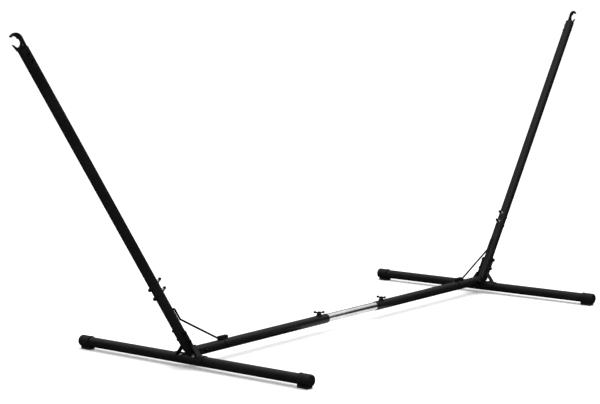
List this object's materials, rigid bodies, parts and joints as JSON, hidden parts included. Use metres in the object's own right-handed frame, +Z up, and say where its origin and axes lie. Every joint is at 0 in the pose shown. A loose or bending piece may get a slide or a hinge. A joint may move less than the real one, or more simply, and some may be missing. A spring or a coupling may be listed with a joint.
{
  "type": "hammock stand",
  "caption": "Free-standing black steel hammock stand: cross feet, telescopic centre beam with wing-knob clamps, and leaning arms that end in open hooks.",
  "frame": {"origin": "on the floor, midway between the two feet and on the beam's line", "axes": "+X along the centre beam, +Y along the feet, +Z up"},
  "size_m": [3.6362, 1.192, 1.2849],
  "materials": {
    "black_powder_coat": "satin black powder coat with a fine grain",
    "black_plastic": "moulded matt black plastic",
    "galvanised_tube": "bright galvanised steel tube with fine lengthways marks",
    "black_zinc": "black zinc plated steel, slightly glossy",
    "bright_zinc": "bright zinc plated steel"
  },
  "bodies": {
    "left_frame": {"left_foot_tube": "black_powder_coat", "left_front_cap": "black_plastic", "left_rear_cap": "black_plastic", "left_base_bracket": "black_powder_coat", "left_foot_bolts": "bright_zinc", "left_foot_nuts": "bright_zinc", "left_beam_tube": "black_powder_coat", "left_beam_bolt": "black_zinc", "left_clamp_boss": "black_powder_coat", "left_lower_arm": "black_powder_coat", "left_upper_arm": "black_powder_coat", "left_arm_base_bolts": "black_zinc", "left_arm_base_nuts": "black_zinc", "left_spacers": "black_zinc", "left_arm_joint_bolts": "black_zinc", "left_arm_joint_nuts": "bright_zinc", "left_thread_caps": "black_plastic", "left_hook": "black_powder_coat", "left_hook_plug": "black_plastic", "left_hook_bolts": "black_zinc", "left_brace": "black_powder_coat", "left_brace_clip": "black_powder_coat", "left_clip_screws": "black_zinc"},
    "inner_tube": {"inner_tube": "galvanised_tube"},
    "right_frame": {"right_foot_tube": "black_powder_coat", "right_front_cap": "black_plastic", "right_rear_cap": "black_plastic", "right_base_bracket": "black_powder_coat", "right_foot_bolts": "bright_zinc", "right_foot_nuts": "bright_zinc", "right_beam_tube": "black_powder_coat", "right_beam_bolt": "black_zinc", "right_clamp_boss": "black_powder_coat", "right_lower_arm": "black_powder_coat", "right_upper_arm": "black_powder_coat", "right_arm_base_bolts": "black_zinc", "right_arm_base_nuts": "black_zinc", "right_spacers": "black_zinc", "right_arm_joint_bolts": "black_zinc", "right_arm_joint_nuts": "bright_zinc", "right_thread_caps": "black_plastic", "right_hook": "black_powder_coat", "right_hook_plug": "black_plastic", "right_hook_bolts": "black_zinc", "right_brace": "black_powder_coat", "right_brace_clip": "black_powder_coat", "right_clip_screws": "black_zinc"},
    "left_screw": {"left_clamp_stud": "black_zinc"},
    "left_knob": {"left_wing_knob": "black_plastic"},
    "right_screw": {"right_clamp_stud": "black_zinc"},
    "right_knob": {"right_wing_knob": "black_plastic"}
  },
  "joints": [
    {"name": "left_beam_slide", "type": "slide", "parent": "left_frame", "child": "inner_tube", "axis": [1, 0, 0], "range_m": [-0.165, 0.085]},
    {"name": "right_beam_slide", "type": "slide", "parent": "inner_tube", "child": "right_frame", "axis": [1, 0, 0], "range_m": [-0.165, 0.085]},
    {"name": "left_clamp_travel", "type": "slide", "parent": "left_frame", "child": "left_screw", "axis": [0, 0, 1], "range_m": [0, 0.00219]},
    {"name": "left_clamp_turn", "type": "hinge", "parent": "left_screw", "child": "left_knob", "pos_m": [-0.212, 0, 0.088], "axis": [0, 0, 1], "range_deg": [0, 630]},
    {"name": "right_clamp_travel", "type": "slide", "parent": "right_frame", "child": "right_screw", "axis": [0, 0, 1], "range_m": [0, 0.00219]},
    {"name": "right_clamp_turn", "type": "hinge", "parent": "right_screw", "child": "right_knob", "pos_m": [0.212, 0, 0.088], "axis": [0, 0, 1], "range_deg": [0, 630]}
  ],
  "couplings": [
    {"joint": "left_clamp_turn", "follows": "left_clamp_travel", "rad_per_m": 5026.5},
    {"joint": "right_clamp_turn", "follows": "right_clamp_travel", "rad_per_m": 5026.5}
  ]
}
